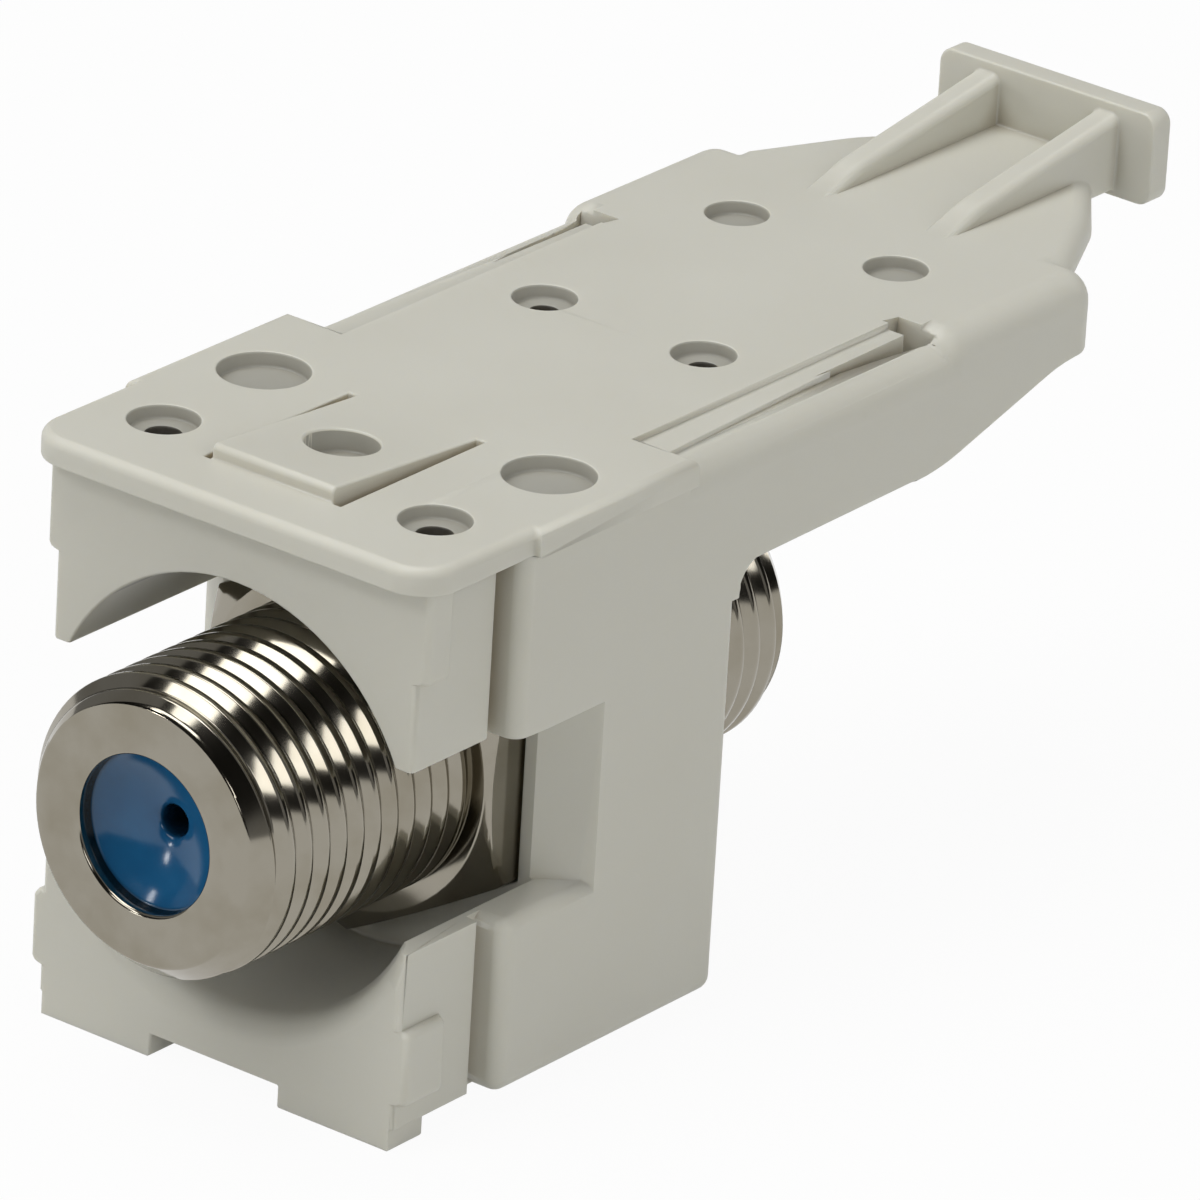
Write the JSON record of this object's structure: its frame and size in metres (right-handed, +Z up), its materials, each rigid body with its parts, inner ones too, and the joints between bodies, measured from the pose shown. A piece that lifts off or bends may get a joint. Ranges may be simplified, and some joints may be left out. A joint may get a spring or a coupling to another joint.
{
  "type": "f-connector coupler module",
  "caption": "Snap-in patch panel module: an off-white moulded frame with side windows and a ribbed release tail holds a nickel plated threaded coaxial barrel with a blue insulator.",
  "frame": {"origin": "On the barrel's axis, in the plane of the frame's front face", "axes": "+Y runs along the barrel from the front port to the rear, +Z is up towards the deck, and +X is to the right seen from the front"},
  "size_m": [0.0158, 0.0442, 0.0211],
  "materials": {
    "frame_plastic": "fine satin moulded surface, off-white",
    "nickel_plated_brass": "bright nickel plating over turned brass",
    "insulator_plastic": "glossy blue moulded polymer",
    "contact_bronze": "bare phosphor bronze",
    "washer_steel": "zinc plated spring steel"
  },
  "bodies": {
    "root": {"module_frame": "frame_plastic", "coupler_body": "nickel_plated_brass", "front_insulator": "insulator_plastic", "rear_insulator": "insulator_plastic", "center_contact": "contact_bronze", "end_ring": "nickel_plated_brass", "lock_washer": "washer_steel", "hex_nut": "nickel_plated_brass"}
  },
  "joints": []
}
